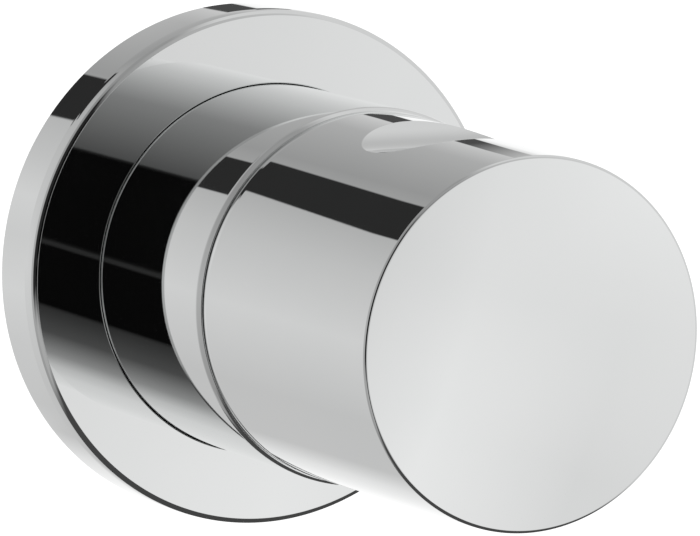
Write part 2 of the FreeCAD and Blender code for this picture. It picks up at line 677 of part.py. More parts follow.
def knob():
    """Hollow casting with a keyed hub, a boss for the grub screw and the thumb hollow."""
    body = turned([
        (KNOB_CAVITY_RADIUS, KNOB_BACK),
        (KNOB_NECK_RADIUS, KNOB_BACK),
        (KNOB_NECK_RADIUS, KNOB_SHOULDER),
        (KNOB_BACK_RADIUS, KNOB_SHOULDER),
        (knob_side(KNOB_FRONT), KNOB_FRONT),
        (0, KNOB_FRONT),
        (0, HUB_BORE_FRONT),
        (HUB_BORE, HUB_BORE_FRONT),
        (HUB_BORE, HUB_BACK),
        (HUB_RADIUS, HUB_BACK),
        (HUB_RADIUS, KNOB_CAVITY_FRONT),
        (KNOB_CAVITY_RADIUS, KNOB_CAVITY_FRONT),
    ])
    crown_radius = (KNOB_RADIUS ** 2 + KNOB_CROWN ** 2) / (2 * KNOB_CROWN)
    crown_centre = FreeCAD.Vector(0, crown_radius - KNOB_FRONT, 0)
    body = body.common(Part.makeSphere(crown_radius, crown_centre))
    body = body.makeFillet(KNOB_EDGE, rim_edges(body, KNOB_RADIUS, KNOB_RIM))
    body = body.makeFillet(KNOB_SHOULDER_EDGE, rim_edges(body, KNOB_BACK_RADIUS, KNOB_SHOULDER))
    body = with_thumb_hollow(body)
    down = FreeCAD.Vector(0, 0, -1)
    boss_start = FreeCAD.Vector(0, -GRUB_STATION, -(HUB_BORE + HUB_WALL / 2.0))
    boss_length = KNOB_RADIUS - KNOB_WALL / 2.0 - HUB_BORE - HUB_WALL / 2.0
    body = body.fuse(Part.makeCylinder(GRUB_RADIUS + GRUB_BOSS_WALL, boss_length, boss_start, down))
    hole_start = FreeCAD.Vector(0, -GRUB_STATION, -ADAPTER_RADIUS / 2.0)
    body = body.cut(Part.makeCylinder(GRUB_RADIUS + PUSH_GAP, KNOB_RADIUS, hole_start, down))
    for key in range(ADAPTER_KEY_COUNT):
        angle = (key + 0.5) * 360.0 / ADAPTER_KEY_COUNT
        far = ADAPTER_RADIUS + ADAPTER_KEY_HEIGHT + PUSH_GAP
        width = ADAPTER_KEY_WIDTH + 2 * PUSH_GAP
        keyway = radial_bar(HUB_BORE / 2.0, far, width, HUB_BACK - CUT_PAST, HUB_BORE_FRONT, angle)
        body = body.cut(keyway)
    return solid(body.removeSplitter())


def grub_screw():
    down = FreeCAD.Vector(0, 0, -1)
    start = FreeCAD.Vector(0, -GRUB_STATION, -(ADAPTER_RADIUS + PUSH_GAP))
    body = Part.makeCylinder(GRUB_RADIUS, GRUB_LENGTH, start, down)
    key = hexagon(GRUB_KEY, 0, GRUB_KEY_DEPTH)
    key.rotate(FreeCAD.Vector(0, 0, 0), FreeCAD.Vector(1, 0, 0), -90)
    key.translate(start + down * GRUB_LENGTH)
    return solid(body.cut(key))


def build():
    lower_ring, upper_ring = spindle_ring_stations()
    return {
        "escutcheon": escutcheon(),
        "escutcheon_insert": escutcheon_insert(),
        "escutcheon_o_ring": escutcheon_o_ring(),
        "wall_seal": wall_seal(),
        "collar": collar(),
        "collar_o_ring": collar_o_ring(),
        "glide_ring": glide_ring(),
        "carrier_ring": carrier_ring(),
        "headwork_housing": headwork_housing(),
        "housing_o_ring": housing_o_ring(),
        "seat_seal": seat_seal(),
        "fixed_ceramic_disc": fixed_ceramic_disc(),
        "turning_ceramic_disc": turning_ceramic_disc(),
        "slide_washer": slide_washer(),
        "spindle": spindle(),
        "spindle_o_ring_lower": spindle_o_ring(lower_ring),
        "spindle_o_ring_upper": spindle_o_ring(upper_ring),
        "spindle_circlip": spindle_circlip(),
        "spindle_extension": spindle_extension(),
        "extension_screw": extension_screw(),
        "spline_adapter": spline_adapter(),
        "knob": knob(),
        "grub_screw": grub_screw(),
    }


os.makedirs("parts", exist_ok=True)
for node, shape in build().items():
    shape.exportStep("parts/" + node + ".step")
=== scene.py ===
import math

import bmesh
import bpy
from mathutils import Matrix, Vector


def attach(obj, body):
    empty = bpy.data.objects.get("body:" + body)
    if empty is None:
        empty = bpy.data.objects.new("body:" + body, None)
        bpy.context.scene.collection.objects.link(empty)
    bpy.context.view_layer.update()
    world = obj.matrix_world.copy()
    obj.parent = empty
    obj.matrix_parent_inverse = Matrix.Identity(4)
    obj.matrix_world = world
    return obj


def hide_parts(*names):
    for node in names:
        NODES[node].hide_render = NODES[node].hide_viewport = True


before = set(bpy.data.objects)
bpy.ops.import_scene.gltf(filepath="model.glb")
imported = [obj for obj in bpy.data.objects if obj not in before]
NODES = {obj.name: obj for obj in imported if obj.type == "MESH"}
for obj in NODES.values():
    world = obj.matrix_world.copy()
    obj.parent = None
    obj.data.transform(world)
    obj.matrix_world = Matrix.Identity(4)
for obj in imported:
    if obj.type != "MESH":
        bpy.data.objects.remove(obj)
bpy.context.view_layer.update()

# Camera, as fitted to the photograph: place and target in the part's frame, in metres.
CAMERA_PLACE = Vector((-0.36519, -0.73033, 0.11437))
CAMERA_TARGET = Vector((-0.00163, -0.03656, 0.00366))
CAMERA_ROLL = math.radians(0.87)
FOCAL_PIXELS = 6051.0
PHOTO_WIDTH = 700.0
SENSOR_WIDTH = 36.0

# Floor, below the part, in metres.
FLOOR_HEIGHT = -0.30
FLOOR_SIZE = 8.0
FLOOR_COLOUR = 0.85
FLOOR_GLOW = 0.45

# The studio is a world of soft panels round the valve's axis, as (degrees, level) pairs. Degrees
# run from +X towards +Z. The front panels are what the escutcheon's face mirrors by way of the
# collar, and the wide panels stand round them. The back panels are what the sides of the collar
# and knob mirror, and nearer the axis, at y above RIM_START, the rim panels are what the
# escutcheon's rim mirrors.
FRONT_PANELS = (
    (0, 0.86), (14, 0.80), (40, 0.60), (75, 0.26), (121.5, 0.087), (122.5, 0.003), (184, 0.003),
    (185, 0.028), (187, 0.028), (188, 0.003), (228, 0.003), (230, 0.034), (249, 0.08), (268, 0.30),
    (280, 0.60), (292, 0.76), (318, 0.86), (334, 0.89), (341, 0.85), (345, 0.80), (350, 0.80),
    (360, 0.86),
)
WIDE_PANELS = (
    (0, 0.72), (40, 0.62), (75, 0.48), (112, 0.30), (122, 0.02), (194, 0.02), (206, 0.42),
    (240, 0.42), (300, 0.50), (360, 0.72),
)
BACK_PANELS = (
    (0, 1.04), (12, 1.0), (20, 0.70), (50, 0.44), (90, 0.33), (120, 0.45), (150, 0.57), (190, 0.68),
    (240, 0.57), (278, 0.57), (296, 0.80), (322, 1.0), (360, 1.04),
)
RIM_PANELS = (
    (0, 0.66), (17, 0.60), (40, 0.60), (55, 0.49), (75, 0.41), (95, 0.34), (122, 0.50), (142, 0.58),
    (161, 0.69), (180, 0.65), (205, 0.70), (230, 0.63), (262, 0.60), (280, 0.72), (293, 0.94),
    (312, 0.75), (324, 0.55), (340, 0.52), (360, 0.66),
)

# Levels beside the valve on its left, as (height, level) pairs.
SIDE_HEIGHTS = (
    (-1.0, 0.34), (-0.7, 0.32), (-0.3, 0.40), (0.0, 0.45), (0.3, 0.40), (0.75, 0.28), (1.0, 0.33),
)

# Share of the front panels' level over the distance forwards, and the level on the axis itself.
FRONT_SHARES = ((0.80, 1.12), (0.84, 1.09), (0.877, 1.0), (0.90, 0.87), (0.93, 0.74))
FRONT_AXIS_LEVELS = ((-0.30, 0.02), (-0.10, 0.50), (0.20, 0.62))
BACK_AXIS_LEVEL = 0.72

# Share that the front panels lose at the lower right, and where: degrees and distance forwards.
LOW_RIGHT_LOSS = 0.22
LOW_RIGHT_DEGREES = (350, 338)
LOW_RIGHT_AHEAD = (0.877, 0.84)

# Level beside the valve on its right, and where in x it takes over.
RIGHT_LEVEL = 0.68
RIGHT_START = (-0.1, 0.25)

# Where each set of panels takes over from the one before: bands of the distance forwards for the
# wide and front panels, and of y for the back and rim panels.
WIDE_OUTER = (0.42, 0.50)
FRONT_OUTER = (0.76, 0.82)
FRONT_INNER = (0.92, 0.97)
BACK_OUTER = (0.45, 0.87)
RIM_START = (0.893, 0.898)
BACK_INNER = (0.94, 0.98)

# Dark cards: two in the back half and one below. Each has its lower and its upper edge as
# (y, degrees) pairs, its level, the band of y that it fills, and half the width of its soft edge
# in degrees. At the ends of its band a card fades in over a short run of y.
DARK_CARDS = (
    (((0.80, 98.8), (0.860, 98.8), (0.871, 96.8), (0.876, 97.2), (0.886, 100.9), (0.892, 100.9),
      (0.897, 97.4), (0.91, 98.0), (0.95, 84.0), (1.0, 60.0)),
     ((0.80, 125.0), (0.860, 124.8), (0.871, 120.5), (0.876, 121.0), (0.886, 126.0), (0.892, 126.0),
      (0.897, 121.5), (0.91, 124.0), (0.95, 141.0), (1.0, 150.0)),
     0.024, (0.845, 0.99), 0.5),
    (((0.80, 19.3), (0.862, 19.3), (0.872, 14.3), (0.89, 16.0), (0.90, 20.1), (1.0, 20.1)),
     ((0.80, 32.0), (0.862, 32.0), (0.872, 28.0), (0.89, 30.0), (0.90, 33.7), (1.0, 33.7)),
     0.07, (0.858, 0.906), 0.5),
    (((-1.0, 229.0), (0.0, 229.0), (0.3, 244.0), (1.0, 244.0)),
     ((-1.0, 322.0), (1.0, 322.0)),
     0.06, (-0.86, 0.76), 5.0),
)
CARD_FADE = 0.006

# Level of the light that falls on matt surfaces, the same from all round.
PLAIN_LEVEL = 0.85

# Sizes of the trim, in millimetres, as in the part's source. Finer than there are the
# escutcheon's front edge and the rim of its hole, and the eased back of the knob's side. A
# station is a distance in front of the wall, so a station of 10 is y = -10.
MM = 0.001
ESCUTCHEON_RADIUS = 35.0
ESCUTCHEON_DEPTH = 9.8
ESCUTCHEON_SKIN = 1.2
ESCUTCHEON_EASE_STATION = 8.15
ESCUTCHEON_EASE_BEND = 15.0
BEVEL = ((34.88, 9.30, 0.14), (34.62, 9.58, 1.6), (34.24, 9.8, 0.12))
ESCUTCHEON_HOLE = 25.07
HOLE_EDGE = 0.18
COLLAR_RADIUS = 25.0
COLLAR_BACK = 1.5
COLLAR_FRONT = 39.3
COLLAR_BORE = 23.1
COLLAR_MOUTH = 24.05
COLLAR_STEP = 34.65
COLLAR_EDGE_LENGTH = 1.0
COLLAR_EDGE_DEPTH = 0.4
KNOB_BACK = 35.8
KNOB_SHOULDER = 39.4
KNOB_RIM = 82.9
KNOB_CROWN = 0.3
KNOB_NECK_RADIUS = 23.9
KNOB_BACK_RADIUS = 24.5
KNOB_RADIUS = 23.75
KNOB_EDGE = 0.45
KNOB_BACK_EASE = 1.5
KNOB_BACK_BEND = 14.0
KNOB_CAVITY_RADIUS = 20.55
KNOB_CAVITY_FRONT = 80.2
HUB_RADIUS = 13.1
HUB_BORE = 9.0
HUB_BACK = 47.0
HUB_BORE_FRONT = 75.0
KEYWAY_RADIUS = 10.1
KEYWAY_HALF_ANGLE = 7.9
HOLLOW_STATION = 58.3
HOLLOW_LENGTH = 17.6
HOLLOW_DEPTH = 2.35
HOLLOW_EDGE = 0.3
GRUB_STATION = 54.5
GRUB_HOLE = 2.55
GRUB_BOSS = 4.7

# Roundings of edges, small lengths and counts of the finer meshes.
CRISP_EDGE = 0.05
SHARP_EDGE = 0.1
SOFT_EDGE = 0.15
CUP_BEND = 0.5
COLLAR_CREST_EDGE = 0.03
COLLAR_BEND_SLACK = 0.06
COLLAR_BORE_CHAMFER = 0.4
HUB_EDGE = 0.3
CAVITY_BEND = 1.0
NECK_EDGE = 0.2
KNOB_BACK_EDGE = 0.3
KNOB_EDGE_SLACK = 0.02
KNOB_FRONT_ROW = 0.9
KNOB_EASE_ROWS = 12
CROWN_RINGS = 12
HOLLOW_SLOPE = 12.5
HOLLOW_RINGS = 14
HOLLOW_EDGE_RINGS = 3
HOLLOW_OUTER_RINGS = 4
GRUB_EDGE_STEPS = 4
GRUB_OUTER_SHARES = (0.33, 0.66)
BOSS_TOP_OVERLAP = 1.5
BOSS_FOOT_OVERLAP = 1.6
BOSS_SIDES = 48
FIRST_KEYWAY = 45.0
KEYWAY_STEP = 90.0
KEYWAY_FLANK = 0.05

# The knob's mesh is a grid of angles and stations, finer in these two windows of it.
HOLLOW_WINDOW = (60.0, 120.0, 46.0, 68.0)
GRUB_WINDOW = (256.0, 284.0, 50.5, 58.5)
GRID_ANGLE = 1.0
ARC_ANGLE = 0.2
ARC_LENGTH = 0.25
GRID_STATION = 0.5

# Pipe thread on the headwork's housing.
THREAD_RADIUS = 13.2
THREAD_DEPTH = 1.16
THREAD_PITCH = 1.814
THREAD_BACK = -30.6
THREAD_FRONT = -16.6
THREAD_CORE = 11.6
THREAD_ROUNDNESS = 0.96
THREAD_END_CUT = 0.95
THREAD_ROWS = 16
THREAD_COLUMNS = 120
ZONE_MARGIN = 0.01
MERGE_DISTANCE = 1e-6
SHARP_ANGLE = 38


# Colours of each material, between which its noise runs, and the band of noise that is used.
CHROME_COLOURS = ((0.885, 0.897, 0.895), (0.900, 0.908, 0.906))
BRASS_COLOURS = ((0.66, 0.47, 0.21), (0.80, 0.61, 0.32))
MOULDED_COLOURS = ((0.70, 0.70, 0.67), (0.78, 0.78, 0.76))
BEARING_COLOURS = ((0.86, 0.86, 0.83), (0.91, 0.91, 0.89))
RUBBER_COLOURS = ((0.016, 0.016, 0.017), (0.042, 0.042, 0.041))
FOAM_COLOURS = ((0.05, 0.05, 0.052), (0.13, 0.13, 0.13))
CERAMIC_COLOURS = ((0.88, 0.875, 0.85), (0.93, 0.93, 0.91))
SPRING_COLOURS = ((0.28, 0.28, 0.29), (0.38, 0.38, 0.39))
SCREW_COLOURS = ((0.56, 0.56, 0.57), (0.64, 0.64, 0.65))
NOISE_BAND = (0.3, 0.7)
PLASTIC_DEPTH = 0.002
ALUMINA_IOR = 1.76


class Graph:
    """Short names for making shader nodes."""

    def __init__(self, tree):
        self.nodes = tree.nodes
        self.links = tree.links

    def node(self, kind, **settings):
        made = self.nodes.new(kind)
        for key, value in settings.items():
            setattr(made, key, value)
        return made

    def feed(self, socket, value):
        if isinstance(value, (int, float)):
            socket.default_value = value
        else:
            self.links.new(value, socket)

    def maths(self, operation, first, second=None):
        made = self.node("ShaderNodeMath", operation=operation)
        self.feed(made.inputs[0], first)
        if second is not None:
            self.feed(made.inputs[1], second)
        return made.outputs[0]

    def mapped(self, value, low, high, start=0.0, stop=1.0, smooth=False):
        made = self.node("ShaderNodeMapRange")
        if smooth:
            made.interpolation_type = "SMOOTHSTEP"
        ends = {"From Min": low, "From Max": high, "To Min": start, "To Max": stop}
        for name, number in ends.items():
            made.inputs[name].default_value = number
        self.feed(made.inputs["Value"], value)
        return made.outputs["Result"]

    def ramp(self, value, stops, low, high):
        """Level between stops, given in the value's own units."""
        made = self.node("ShaderNodeValToRGB")
        elements = made.color_ramp.elements
        while len(elements) > 1:
            elements.remove(elements[-1])
        for i, (place, level) in enumerate(stops):
            position = (place - low) / (high - low)
            element = elements[0] if i == 0 else elements.new(position)
            element.position = position
            element.color = (level, level, level, 1)
        self.feed(made.inputs["Fac"], self.mapped(value, low, high))
        return made.outputs["Color"]

    def track(self, value, stops):
        """Straight runs through (value, result) pairs, whose results may be any numbers."""
        total = stops[0][1]
        for (low, first), (high, last) in zip(stops, stops[1:]):
            if first != last:
                total = self.maths("ADD", self.mapped(value, low, high, 0.0, last - first), total)
        return total

    def mix(self, share, first, second):
        made = self.node("ShaderNodeMix", data_type="FLOAT")
        self.feed(made.inputs[0], share)
        self.feed(made.inputs[2], first)
        self.feed(made.inputs[3], second)
        return made.outputs[0]


def make_studio():
    """World that mirrors show as the panels, matt surfaces as plain light and the camera as white."""
    world = bpy.data.worlds.new("studio")
    bpy.context.scene.world = world
    world.use_nodes = True
    tree = world.node_tree
    tree.nodes.clear()
    g = Graph(tree)
    direction = g.node("ShaderNodeTexCoord").outputs["Generated"]
    parts = g.node("ShaderNodeSeparateXYZ")
    g.links.new(direction, parts.inputs["Vector"])
    x, y, z = parts.outputs
    turn = g.maths("ARCTAN2", z, x)
    turn = g.maths("MODULO", g.maths("ADD", turn, 2 * math.pi), 2 * math.pi)
    degrees = g.maths("MULTIPLY", turn, 180 / math.pi)
    ahead = g.maths("MULTIPLY", y, -1.0)
    sets = (WIDE_PANELS, FRONT_PANELS, BACK_PANELS, RIM_PANELS)
    wide, panels, behind, round_rim = (g.ramp(degrees, stops, 0, 360) for stops in sets)
    front = g.maths("MULTIPLY", panels, g.track(ahead, FRONT_SHARES))
    low_down = g.mapped(degrees, *LOW_RIGHT_DEGREES)
    corner = g.maths("MULTIPLY", low_down, g.mapped(ahead, *LOW_RIGHT_AHEAD))
    front = g.maths("MULTIPLY", front, g.mapped(corner, 0, 1, 1, 1 - LOW_RIGHT_LOSS))
    side = g.ramp(z, SIDE_HEIGHTS, -1, 1)
    level = g.mix(g.mapped(x, *RIGHT_START, smooth=True), side, RIGHT_LEVEL)
    level = g.mix(g.mapped(ahead, *WIDE_OUTER, smooth=True), level, wide)
    level = g.mix(g.mapped(ahead, *FRONT_OUTER, smooth=True), level, front)
    level = g.mix(g.mapped(y, *BACK_OUTER, smooth=True), level, behind)
    level = g.mix(g.mapped(y, *RIM_START, smooth=True), level, round_rim)
    level = g.mix(g.mapped(ahead, *FRONT_INNER, smooth=True), level, g.track(x, FRONT_AXIS_LEVELS))
    level = g.mix(g.mapped(y, *BACK_INNER, smooth=True), level, BACK_AXIS_LEVEL)
    for low, high, dark, (start, stop), soft in DARK_CARDS:
        past = g.maths("SUBTRACT", degrees, g.track(y, low))
        short = g.maths("SUBTRACT", g.track(y, high), degrees)
        card = g.maths("MULTIPLY", g.mapped(past, -soft, soft), g.mapped(short, -soft, soft))
        card = g.maths("MULTIPLY", card, g.mapped(y, start, start + CARD_FADE))
        card = g.maths("MULTIPLY", card, g.mapped(y, stop, stop - CARD_FADE))
        level = g.mix(card, level, dark)
    rays = g.node("ShaderNodeLightPath").outputs
    level = g.mix(rays["Is Glossy Ray"], PLAIN_LEVEL, level)
    through = g.maths("MAXIMUM", rays["Is Camera Ray"], rays["Is Transmission Ray"])
    background = g.node("ShaderNodeBackground")
    background.inputs["Color"].default_value = (1.0, 1.0, 1.0, 1)
    g.feed(background.inputs["Strength"], g.mix(through, level, 1.0))
    output = g.node("ShaderNodeOutputWorld")
    g.links.new(background.outputs["Background"], output.inputs["Surface"])


def material(name):
    made = bpy.data.materials.new(name)
    made.use_nodes = True
    return made, Graph(made.node_tree), made.node_tree.nodes["Principled BSDF"]


def noise(g, scale, detail=3.0):
    """Noise over the part's own coordinates, from nought to one."""
    coordinates = g.node("ShaderNodeTexCoord")
    texture = g.node("ShaderNodeTexNoise")
    texture.inputs["Scale"].default_value = scale
    texture.inputs["Detail"].default_value = detail
    g.links.new(coordinates.outputs["Object"], texture.inputs["Vector"])
    return texture.outputs["Fac"]


def turned_marks(g, scale):
    """Noise that changes only outwards and along the axis, like the marks a lathe leaves."""
    coordinates = g.node("ShaderNodeTexCoord")
    parts = g.node("ShaderNodeSeparateXYZ")
    g.links.new(coordinates.outputs["Object"], parts.inputs["Vector"])
    x, y, z = parts.outputs
    squares = g.maths("ADD", g.maths("MULTIPLY", x, x), g.maths("MULTIPLY", z, z))
    place = g.node("ShaderNodeCombineXYZ")
    g.links.new(g.maths("SQRT", squares), place.inputs["X"])
    g.links.new(y, place.inputs["Y"])
    texture = g.node("ShaderNodeTexNoise")
    texture.inputs["Scale"].default_value = scale
    texture.inputs["Detail"].default_value = 3.0
    g.links.new(place.outputs["Vector"], texture.inputs["Vector"])
    return texture.outputs["Fac"]


def pores(g, scale):
    """Round cells, one for each bubble of a foam."""
    coordinates = g.node("ShaderNodeTexCoord")
    texture = g.node("ShaderNodeTexVoronoi")
    texture.inputs["Scale"].default_value = scale
    g.links.new(coordinates.outputs["Object"], texture.inputs["Vector"])
    return texture.outputs["Distance"]


def tint(g, shader, value, colours):
    """Colour that runs between two as the value does."""
    ramp = g.node("ShaderNodeValToRGB")
    for element, place, colour in zip(ramp.color_ramp.elements, NOISE_BAND, colours):
        element.position = place
        element.color = (*colour, 1)
    g.links.new(value, ramp.inputs["Fac"])
    g.links.new(ramp.outputs["Color"], shader.inputs["Base Color"])


def roughen(g, shader, value, low, high):
    """Roughness that runs from low to high as the value does."""
    g.feed(shader.inputs["Roughness"], g.mapped(value, *NOISE_BAND, low, high))


def relief(g, shader, height, strength, depth):
    """Bump of a depth in millimetres."""
    bump = g.node("ShaderNodeBump")
    bump.inputs["Strength"].default_value = strength
    bump.inputs["Distance"].default_value = depth * MM
    g.links.new(height, bump.inputs["Height"])
    g.links.new(bump.outputs["Normal"], shader.inputs["Normal"])


def chrome():
    """Polished plate: a mirror with a faint uneven haze and hardly any relief."""
    made, g, shader = material("chrome_plate")
    shader.inputs["Metallic"].default_value = 1.0
    haze = noise(g, scale=60.0)
    tint(g, shader, haze, CHROME_COLOURS)
    roughen(g, shader, haze, 0.012, 0.028)
    relief(g, shader, noise(g, scale=900.0), strength=0.02, depth=0.01)
    return made


def brass():
    """Turned bare brass, a little dulled in patches."""
    made, g, shader = material("turned_brass")
    shader.inputs["Metallic"].default_value = 1.0
    dulled = noise(g, scale=140.0, detail=5.0)
    tint(g, shader, dulled, BRASS_COLOURS)
    marks = turned_marks(g, scale=5200.0)
    turned = g.mapped(marks, *NOISE_BAND, 0.20, 0.32)
    patches = g.mapped(dulled, *NOISE_BAND, 0.08, 0.0)
    g.feed(shader.inputs["Roughness"], g.maths("ADD", turned, patches))
    relief(g, shader, marks, strength=0.35, depth=0.03)
    return made


def steel(name, colours, rough):
    """Turned or drawn steel with fine lines round its axis."""
    made, g, shader = material(name)
    shader.inputs["Metallic"].default_value = 1.0
    tint(g, shader, noise(g, scale=400.0), colours)
    marks = turned_marks(g, scale=7000.0)
    roughen(g, shader, marks, rough, rough + 0.14)
    relief(g, shader, marks, strength=0.25, depth=0.02)
    return made


def plastic(name, colours, rough, grain):
    """Moulded plastic with a fine grain and slightly cloudy colour."""
    made, g, shader = material(name)
    tint(g, shader, noise(g, scale=90.0, detail=4.0), colours)
    shader.inputs["Subsurface Weight"].default_value = 0.08
    shader.inputs["Subsurface Radius"].default_value = (PLASTIC_DEPTH, PLASTIC_DEPTH, PLASTIC_DEPTH)
    fine = noise(g, scale=grain)
    roughen(g, shader, fine, rough, rough + 0.12)
    relief(g, shader, fine, strength=0.2, depth=0.03)
    return made


def rubber():
    """Black moulded rubber, greyer where talc has stayed on it."""
    made, g, shader = material("moulded_rubber")
    talc = noise(g, scale=220.0, detail=5.0)
    tint(g, shader, talc, RUBBER_COLOURS)
    roughen(g, shader, talc, 0.42, 0.62)
    relief(g, shader, noise(g, scale=3500.0), strength=0.25, depth=0.03)
    return made


def foam():
    """Dark closed-cell foam."""
    made, g, shader = material("cell_foam")
    cells = pores(g, scale=2600.0)
    tint(g, shader, cells, FOAM_COLOURS)
    roughen(g, shader, noise(g, scale=300.0), 0.82, 0.95)
    relief(g, shader, cells, strength=0.7, depth=0.15)
    return made


def ceramic():
    """Lapped alumina: white, with a close sheen and faint crossing scratches."""
    made, g, shader = material("lapped_ceramic")
    tint(g, shader, noise(g, scale=700.0, detail=4.0), CERAMIC_COLOURS)
    shader.inputs["IOR"].default_value = ALUMINA_IOR
    lapped = noise(g, scale=5000.0)
    roughen(g, shader, lapped, 0.14, 0.26)
    relief(g, shader, lapped, strength=0.1, depth=0.01)
    return made


class Shell:
    """Faces with a normal at every corner, gathered into one mesh whose equal points are joined."""

    def __init__(self):
        self.index = {}
        self.points = []
        self.faces = []
        self.normals = []

    def face(self, *corners):
        """Each corner is a point and a normal, in millimetres. Equal points in a row count once."""
        found = []
        leans = []
        for point, lean in corners:
            key = tuple(round(value, 4) for value in point)
            place = self.index.setdefault(key, len(self.points))
            if place == len(self.points):
                self.points.append(key)
            if place not in found:
                found.append(place)
                leans.append(lean)
        if len(found) < 3:
            return
        first, second, third, last = (Vector(self.points[found[i]]) for i in (0, 1, 2, -1))
        across = (second - first).cross(third - first) + (third - first).cross(last - first)
        if across.dot(sum((Vector(lean) for lean in leans), Vector())) < 0:
            found.reverse()
            leans.reverse()
        self.faces.append(found)
        self.normals.extend(leans)

    def make(self, name, body, node):
        """The mesh as a piece that stands for a node of the part."""
        mesh = bpy.data.meshes.new(name)
        mesh.from_pydata([[value * MM for value in point] for point in self.points], [], self.faces)
        mesh.polygons.foreach_set("use_smooth", [True] * len(self.faces))
        mesh.normals_split_custom_set(self.normals)
        return place_piece(mesh, name, body, node)


def place_piece(mesh, name, body, node):
    piece = bpy.data.objects.new(name, mesh)
    bpy.context.scene.collection.objects.link(piece)
    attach(piece, body)
    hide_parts(node)
    return piece


def heading(first, last):
    """Direction between two points of an outline."""
    length = math.hypot(last[0] - first[0], last[1] - first[1])
    return (last[0] - first[0]) / length, (last[1] - first[1]) / length


def corner_arc(before, corner, after):
    """Points and normals round one corner of an outline whose metal is on its left."""
    radius, station, bend = corner
    into = heading(before, corner)
    out = heading(corner, after)
    turn = math.atan2(into[0] * out[1] - into[1] * out[0], into[0] * out[0] + into[1] * out[1])
    back = bend * math.tan(abs(turn) / 2)
    side = math.copysign(bend, turn)
    normal = (into[1], -into[0])
    centre = (radius - into[0] * back - side * normal[0], station - into[1] * back - side * normal[1])
    steps = max(3, math.ceil(abs(turn) / ARC_ANGLE), math.ceil(abs(turn) * bend / ARC_LENGTH))
    arc = []
    for step in range(steps + 1):
        cos = math.cos(turn * step / steps)
        sin = math.sin(turn * step / steps)
        lean = (normal[0] * cos - normal[1] * sin, normal[0] * sin + normal[1] * cos)
        arc.append(((centre[0] + side * lean[0], centre[1] + side * lean[1]), lean))
    return arc


def runs_of(corners, closed=True):
    """Runs of an outline of (radius, station, rounding) corners, metal on the left. Each run is
    its first point and normal and its last point and normal."""
    arcs = []
    for i, corner in enumerate(corners):
        at_end = not closed and i in (0, len(corners) - 1)
        if at_end or corner[2] == 0:
            arcs.append([(corner[:2], None)])
        else:
            arcs.append(corner_arc(corners[i - 1], corner, corners[(i + 1) % len(corners)]))
    runs = []
    for i, arc in enumerate(arcs):
        for (first, lean), (last, other) in zip(arc, arc[1:]):
            runs.append((first, lean, last, other))
        if closed or i < len(arcs) - 1:
            first = arc[-1][0]
            last = arcs[(i + 1) % len(arcs)][0][0]
            along = heading(first, last)
            lean = (along[1], -along[0])
            runs.append((first, lean, last, lean))
    return runs


def around(point, lean, degrees):
    """A point and normal of an outline, turned to an angle round the valve's axis."""
    cos = math.cos(math.radians(degrees))
    sin = math.sin(math.radians(degrees))
    return (point[0] * cos, -point[1], point[0] * sin), (lean[0] * cos, -lean[1], lean[0] * sin)


def spin(shell, runs, angles):
    """Faces of an outline turned through all the angles."""
    for first, lean, last, other in runs:
        for a, b in zip(angles, angles[1:] + angles[:1]):
            shell.face(around(first, lean, a), around(first, lean, b), around(last, other, b),
                       around(last, other, a))


def even_angles():
    return [i * GRID_ANGLE for i in range(round(360 / GRID_ANGLE))]


def make_escutcheon():
    """Pressed cup whose front edge has a small rounded bevel."""
    inner = ESCUTCHEON_RADIUS - ESCUTCHEON_SKIN
    back = ESCUTCHEON_DEPTH - ESCUTCHEON_SKIN
    shell = Shell()
    spin(shell, runs_of([
        (inner, 0, SOFT_EDGE), (ESCUTCHEON_RADIUS, 0, SOFT_EDGE),
        (ESCUTCHEON_RADIUS, ESCUTCHEON_EASE_STATION, ESCUTCHEON_EASE_BEND),
        *BEVEL,
        (ESCUTCHEON_HOLE, ESCUTCHEON_DEPTH, HOLE_EDGE),
        (ESCUTCHEON_HOLE, back, SHARP_EDGE), (inner, back, CUP_BEND),
    ]), even_angles())
    return shell.make("escutcheon_plate", "base", "escutcheon")


def make_collar():
    """Sleeve whose front edge curves in towards the knob."""
    bend = (COLLAR_EDGE_LENGTH ** 2 + COLLAR_EDGE_DEPTH ** 2) / (2 * COLLAR_EDGE_DEPTH)
    turn = math.asin(COLLAR_EDGE_LENGTH / bend)
    reach = bend * math.tan(turn / 2)
    crest = COLLAR_RADIUS - COLLAR_EDGE_DEPTH
    shell = Shell()
    spin(shell, runs_of([
        (COLLAR_RADIUS, COLLAR_BACK, SOFT_EDGE),
        (COLLAR_RADIUS, COLLAR_FRONT - COLLAR_EDGE_LENGTH + reach, bend - COLLAR_BEND_SLACK),
        (crest, COLLAR_FRONT, COLLAR_CREST_EDGE),
        (COLLAR_MOUTH, COLLAR_FRONT, CRISP_EDGE),
        (COLLAR_MOUTH, COLLAR_STEP, SHARP_EDGE), (COLLAR_BORE, COLLAR_STEP, SHARP_EDGE),
        (COLLAR_BORE, COLLAR_BACK + COLLAR_BORE_CHAMFER, SHARP_EDGE),
        (COLLAR_BORE + COLLAR_BORE_CHAMFER, COLLAR_BACK, SHARP_EDGE),
    ]), even_angles())
    return shell.make("collar_sleeve", "base", "collar")


def into_ease(station):
    """How far a station is into the soft curve at the back of the knob's side."""
    return max(KNOB_SHOULDER + KNOB_BACK_EASE - station, 0.0)


def knob_side(station):
    """Radius of the knob's side, which narrows evenly towards the front and is eased at its back."""
    share = (station - KNOB_SHOULDER) / (KNOB_RIM - KNOB_SHOULDER)
    straight = KNOB_BACK_RADIUS + share * (KNOB_RADIUS - KNOB_BACK_RADIUS)
    return straight - into_ease(station) ** 2 / (2 * KNOB_BACK_BEND)


